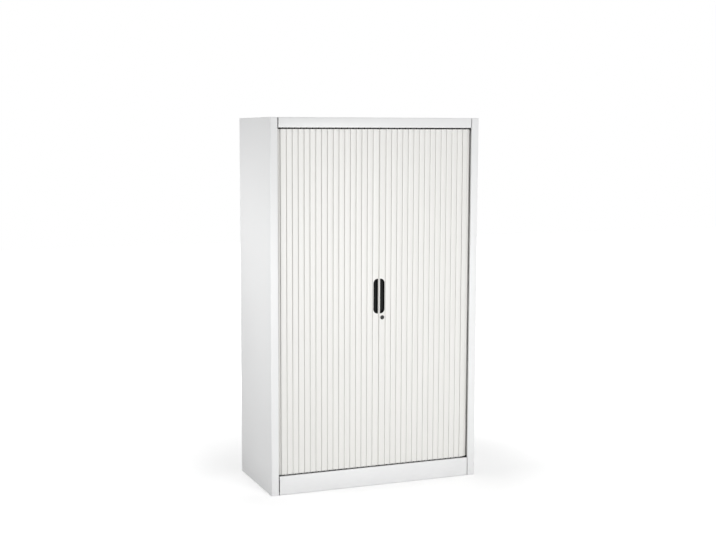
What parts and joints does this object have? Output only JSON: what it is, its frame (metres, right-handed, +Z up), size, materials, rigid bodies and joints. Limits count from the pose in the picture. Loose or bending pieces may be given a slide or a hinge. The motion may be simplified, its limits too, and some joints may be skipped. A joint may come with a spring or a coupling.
{
  "type": "tambour door cabinet",
  "caption": "Tall sheet steel cabinet closed by two sliding curtains of upright slats, with black recessed grips at the centre joint, a round lock, and shelves inside.",
  "frame": {"origin": "on the floor, at the middle of the cabinet's footprint", "axes": "+Z up, the front with the doors faces -Y, +X to the right of someone facing the front"},
  "size_m": [1, 0.45, 1.66],
  "materials": {
    "cabinet_paint": "fine matt powder coat, light grey white",
    "door_slats": "smooth satin plastic, warm light grey white",
    "grip_plastic": "black satin plastic",
    "track_plastic": "dark grey slippery plastic",
    "lock_metal": "dark nickel",
    "zinc_plate": "bright zinc plate"
  },
  "bodies": {
    "root": {"left_side_panel": "cabinet_paint", "left_liner": "cabinet_paint", "right_side_panel": "cabinet_paint", "right_liner": "cabinet_paint", "back_panel": "cabinet_paint", "top_panel": "cabinet_paint", "header_rail": "cabinet_paint", "plinth": "cabinet_paint", "bottom_panel": "cabinet_paint", "ceiling_panel": "cabinet_paint", "lower_track": "track_plastic", "upper_track": "track_plastic", "shelf_1": "cabinet_paint", "shelf_2": "cabinet_paint", "shelf_3": "cabinet_paint", "left_shelf_rail": "zinc_plate", "right_shelf_rail": "zinc_plate"},
    "left_lead": {"left_lead_rail": "door_slats", "left_grip": "grip_plastic"},
    "left_slat_01": {"left_slat_01": "door_slats"},
    "left_slat_02": {"left_slat_02": "door_slats"},
    "left_slat_03": {"left_slat_03": "door_slats"},
    "left_slat_04": {"left_slat_04": "door_slats"},
    "left_slat_05": {"left_slat_05": "door_slats"},
    "left_slat_06": {"left_slat_06": "door_slats"},
    "left_slat_07": {"left_slat_07": "door_slats"},
    "left_slat_08": {"left_slat_08": "door_slats"},
    "left_slat_09": {"left_slat_09": "door_slats"},
    "left_slat_10": {"left_slat_10": "door_slats"},
    "left_slat_11": {"left_slat_11": "door_slats"},
    "left_slat_12": {"left_slat_12": "door_slats"},
    "left_slat_13": {"left_slat_13": "door_slats"},
    "left_slat_14": {"left_slat_14": "door_slats"},
    "left_slat_15": {"left_slat_15": "door_slats"},
    "left_slat_16": {"left_slat_16": "door_slats"},
    "left_slat_17": {"left_slat_17": "door_slats"},
    "right_lead": {"right_lead_rail": "door_slats", "right_grip": "grip_plastic", "lock_barrel": "lock_metal"},
    "right_slat_01": {"right_slat_01": "door_slats"},
    "right_slat_02": {"right_slat_02": "door_slats"},
    "right_slat_03": {"right_slat_03": "door_slats"},
    "right_slat_04": {"right_slat_04": "door_slats"},
    "right_slat_05": {"right_slat_05": "door_slats"},
    "right_slat_06": {"right_slat_06": "door_slats"},
    "right_slat_07": {"right_slat_07": "door_slats"},
    "right_slat_08": {"right_slat_08": "door_slats"},
    "right_slat_09": {"right_slat_09": "door_slats"},
    "right_slat_10": {"right_slat_10": "door_slats"},
    "right_slat_11": {"right_slat_11": "door_slats"},
    "right_slat_12": {"right_slat_12": "door_slats"},
    "right_slat_13": {"right_slat_13": "door_slats"},
    "right_slat_14": {"right_slat_14": "door_slats"},
    "right_slat_15": {"right_slat_15": "door_slats"},
    "right_slat_16": {"right_slat_16": "door_slats"},
    "right_slat_17": {"right_slat_17": "door_slats"},
    "lock": {"lock_plug": "lock_metal", "lock_cam": "zinc_plate"}
  },
  "joints": [
    {"name": "left_door_slide", "type": "slide", "parent": "root", "child": "left_lead", "axis": [-1, 0, 0], "range_m": [0, 0.448]},
    {"name": "left_slat_01_slide", "type": "slide", "parent": "root", "child": "left_slat_01", "axis": [-0.9925, 0.122, 0], "range_m": [0, 0.45485], "deforming": ["left_slat_01"]},
    {"name": "left_slat_02_slide", "type": "slide", "parent": "root", "child": "left_slat_02", "axis": [-0.9884, 0.1516, 0], "range_m": [0, 0.42932], "deforming": ["left_slat_02"]},
    {"name": "left_slat_03_slide", "type": "slide", "parent": "root", "child": "left_slat_03", "axis": [-0.9828, 0.1848, 0], "range_m": [0, 0.40421], "deforming": ["left_slat_03"]},
    {"name": "left_slat_04_slide", "type": "slide", "parent": "root", "child": "left_slat_04", "axis": [-0.975, 0.2221, 0], "range_m": [0, 0.37963], "deforming": ["left_slat_04"]},
    {"name": "left_slat_05_slide", "type": "slide", "parent": "root", "child": "left_slat_05", "axis": [-0.9645, 0.264, 0], "range_m": [0, 0.35567], "deforming": ["left_slat_05"]},
    {"name": "left_slat_06_slide", "type": "slide", "parent": "root", "child": "left_slat_06", "axis": [-0.9503, 0.3113, 0], "range_m": [0, 0.33247], "deforming": ["left_slat_06"]},
    {"name": "left_slat_07_slide", "type": "slide", "parent": "root", "child": "left_slat_07", "axis": [-0.9312, 0.3646, 0], "range_m": [0, 0.31021], "deforming": ["left_slat_07"]},
    {"name": "left_slat_08_slide", "type": "slide", "parent": "root", "child": "left_slat_08", "axis": [-0.9055, 0.4244, 0], "range_m": [0, 0.28908], "deforming": ["left_slat_08"]},
    {"name": "left_slat_09_slide", "type": "slide", "parent": "root", "child": "left_slat_09", "axis": [-0.8711, 0.4911, 0], "range_m": [0, 0.26938], "deforming": ["left_slat_09"]},
    {"name": "left_slat_10_slide", "type": "slide", "parent": "root", "child": "left_slat_10", "axis": [-0.8255, 0.5644, 0], "range_m": [0, 0.25142], "deforming": ["left_slat_10"]},
    {"name": "left_slat_11_slide", "type": "slide", "parent": "root", "child": "left_slat_11", "axis": [-0.7659, 0.643, 0], "range_m": [0, 0.23562], "deforming": ["left_slat_11"]},
    {"name": "left_slat_12_slide", "type": "slide", "parent": "root", "child": "left_slat_12", "axis": [-0.6895, 0.7243, 0], "range_m": [0, 0.22242], "deforming": ["left_slat_12"]},
    {"name": "left_slat_13_slide", "type": "slide", "parent": "root", "child": "left_slat_13", "axis": [-0.5946, 0.804, 0], "range_m": [0, 0.21232], "deforming": ["left_slat_13"]},
    {"name": "left_slat_14_slide", "type": "slide", "parent": "root", "child": "left_slat_14", "axis": [-0.4819, 0.8762, 0], "range_m": [0, 0.20577], "deforming": ["left_slat_14"]},
    {"name": "left_slat_15_slide", "type": "slide", "parent": "root", "child": "left_slat_15", "axis": [-0.3547, 0.935, 0], "range_m": [0, 0.20311], "deforming": ["left_slat_15"]},
    {"name": "left_slat_16_slide", "type": "slide", "parent": "root", "child": "left_slat_16", "axis": [-0.2187, 0.9758, 0], "range_m": [0, 0.20554], "deforming": ["left_slat_16"]},
    {"name": "left_slat_17_slide", "type": "slide", "parent": "root", "child": "left_slat_17", "axis": [-0.0954, 0.9954, 0], "range_m": [0, 0.20979], "deforming": ["left_slat_17"]},
    {"name": "right_door_slide", "type": "slide", "parent": "root", "child": "right_lead", "axis": [1, 0, 0], "range_m": [0, 0.418]},
    {"name": "right_slat_01_slide", "type": "slide", "parent": "root", "child": "right_slat_01", "axis": [0.9914, 0.1306, 0], "range_m": [0, 0.42509], "deforming": ["right_slat_01"]},
    {"name": "right_slat_02_slide", "type": "slide", "parent": "root", "child": "right_slat_02", "axis": [0.9866, 0.1629, 0], "range_m": [0, 0.39969], "deforming": ["right_slat_02"]},
    {"name": "right_slat_03_slide", "type": "slide", "parent": "root", "child": "right_slat_03", "axis": [0.9799, 0.1993, 0], "range_m": [0, 0.37477], "deforming": ["right_slat_03"]},
    {"name": "right_slat_04_slide", "type": "slide", "parent": "root", "child": "right_slat_04", "axis": [0.9706, 0.2406, 0], "range_m": [0, 0.35044], "deforming": ["right_slat_04"]},
    {"name": "right_slat_05_slide", "type": "slide", "parent": "root", "child": "right_slat_05", "axis": [0.9578, 0.2873, 0], "range_m": [0, 0.32683], "deforming": ["right_slat_05"]},
    {"name": "right_slat_06_slide", "type": "slide", "parent": "root", "child": "right_slat_06", "axis": [0.9403, 0.3403, 0], "range_m": [0, 0.30411], "deforming": ["right_slat_06"]},
    {"name": "right_slat_07_slide", "type": "slide", "parent": "root", "child": "right_slat_07", "axis": [0.9163, 0.4004, 0], "range_m": [0, 0.28248], "deforming": ["right_slat_07"]},
    {"name": "right_slat_08_slide", "type": "slide", "parent": "root", "child": "right_slat_08", "axis": [0.8838, 0.4679, 0], "range_m": [0, 0.26223], "deforming": ["right_slat_08"]},
    {"name": "right_slat_09_slide", "type": "slide", "parent": "root", "child": "right_slat_09", "axis": [0.8398, 0.5429, 0], "range_m": [0, 0.24369], "deforming": ["right_slat_09"]},
    {"name": "right_slat_10_slide", "type": "slide", "parent": "root", "child": "right_slat_10", "axis": [0.7812, 0.6243, 0], "range_m": [0, 0.22729], "deforming": ["right_slat_10"]},
    {"name": "right_slat_11_slide", "type": "slide", "parent": "root", "child": "right_slat_11", "axis": [0.7046, 0.7096, 0], "range_m": [0, 0.21351], "deforming": ["right_slat_11"]},
    {"name": "right_slat_12_slide", "type": "slide", "parent": "root", "child": "right_slat_12", "axis": [0.6079, 0.794, 0], "range_m": [0, 0.2029], "deforming": ["right_slat_12"]},
    {"name": "right_slat_13_slide", "type": "slide", "parent": "root", "child": "right_slat_13", "axis": [0.4912, 0.8711, 0], "range_m": [0, 0.19597], "deforming": ["right_slat_13"]},
    {"name": "right_slat_14_slide", "type": "slide", "parent": "root", "child": "right_slat_14", "axis": [0.3581, 0.9337, 0], "range_m": [0, 0.19311], "deforming": ["right_slat_14"]},
    {"name": "right_slat_15_slide", "type": "slide", "parent": "root", "child": "right_slat_15", "axis": [0.2148, 0.9767, 0], "range_m": [0, 0.19589], "deforming": ["right_slat_15"]},
    {"name": "right_slat_16_slide", "type": "slide", "parent": "root", "child": "right_slat_16", "axis": [0.0887, 0.9961, 0], "range_m": [0, 0.20012], "deforming": ["right_slat_16"]},
    {"name": "right_slat_17_slide", "type": "slide", "parent": "root", "child": "right_slat_17", "axis": [0.0131, 0.9999, 0], "range_m": [0, 0.20389], "deforming": ["right_slat_17"]},
    {"name": "lock_turn", "type": "hinge", "parent": "right_lead", "child": "lock", "pos_m": [0.031, -0.2085, 0.768], "axis": [0, -1, 0], "range_deg": [0, 90]}
  ],
  "couplings": [
    {"joint": "left_slat_01_slide", "follows": "left_door_slide", "ratio": 1.0153},
    {"joint": "left_slat_02_slide", "follows": "left_door_slide", "ratio": 0.95829},
    {"joint": "left_slat_03_slide", "follows": "left_door_slide", "ratio": 0.90226},
    {"joint": "left_slat_04_slide", "follows": "left_door_slide", "ratio": 0.84738},
    {"joint": "left_slat_05_slide", "follows": "left_door_slide", "ratio": 0.7939},
    {"joint": "left_slat_06_slide", "follows": "left_door_slide", "ratio": 0.74212},
    {"joint": "left_slat_07_slide", "follows": "left_door_slide", "ratio": 0.69242},
    {"joint": "left_slat_08_slide", "follows": "left_door_slide", "ratio": 0.64527},
    {"joint": "left_slat_09_slide", "follows": "left_door_slide", "ratio": 0.60129},
    {"joint": "left_slat_10_slide", "follows": "left_door_slide", "ratio": 0.56121},
    {"joint": "left_slat_11_slide", "follows": "left_door_slide", "ratio": 0.52593},
    {"joint": "left_slat_12_slide", "follows": "left_door_slide", "ratio": 0.49647},
    {"joint": "left_slat_13_slide", "follows": "left_door_slide", "ratio": 0.47392},
    {"joint": "left_slat_14_slide", "follows": "left_door_slide", "ratio": 0.45929},
    {"joint": "left_slat_15_slide", "follows": "left_door_slide", "ratio": 0.45337},
    {"joint": "left_slat_16_slide", "follows": "left_door_slide", "ratio": 0.4588},
    {"joint": "left_slat_17_slide", "follows": "left_door_slide", "ratio": 0.46827},
    {"joint": "right_slat_01_slide", "follows": "right_door_slide", "ratio": 1.017},
    {"joint": "right_slat_02_slide", "follows": "right_door_slide", "ratio": 0.95619},
    {"joint": "right_slat_03_slide", "follows": "right_door_slide", "ratio": 0.89658},
    {"joint": "right_slat_04_slide", "follows": "right_door_slide", "ratio": 0.83837},
    {"joint": "right_slat_05_slide", "follows": "right_door_slide", "ratio": 0.78189},
    {"joint": "right_slat_06_slide", "follows": "right_door_slide", "ratio": 0.72752},
    {"joint": "right_slat_07_slide", "follows": "right_door_slide", "ratio": 0.67579},
    {"joint": "right_slat_08_slide", "follows": "right_door_slide", "ratio": 0.62734},
    {"joint": "right_slat_09_slide", "follows": "right_door_slide", "ratio": 0.58299},
    {"joint": "right_slat_10_slide", "follows": "right_door_slide", "ratio": 0.54375},
    {"joint": "right_slat_11_slide", "follows": "right_door_slide", "ratio": 0.51079},
    {"joint": "right_slat_12_slide", "follows": "right_door_slide", "ratio": 0.48541},
    {"joint": "right_slat_13_slide", "follows": "right_door_slide", "ratio": 0.46882},
    {"joint": "right_slat_14_slide", "follows": "right_door_slide", "ratio": 0.46198},
    {"joint": "right_slat_15_slide", "follows": "right_door_slide", "ratio": 0.46864},
    {"joint": "right_slat_16_slide", "follows": "right_door_slide", "ratio": 0.47874},
    {"joint": "right_slat_17_slide", "follows": "right_door_slide", "ratio": 0.48777}
  ]
}
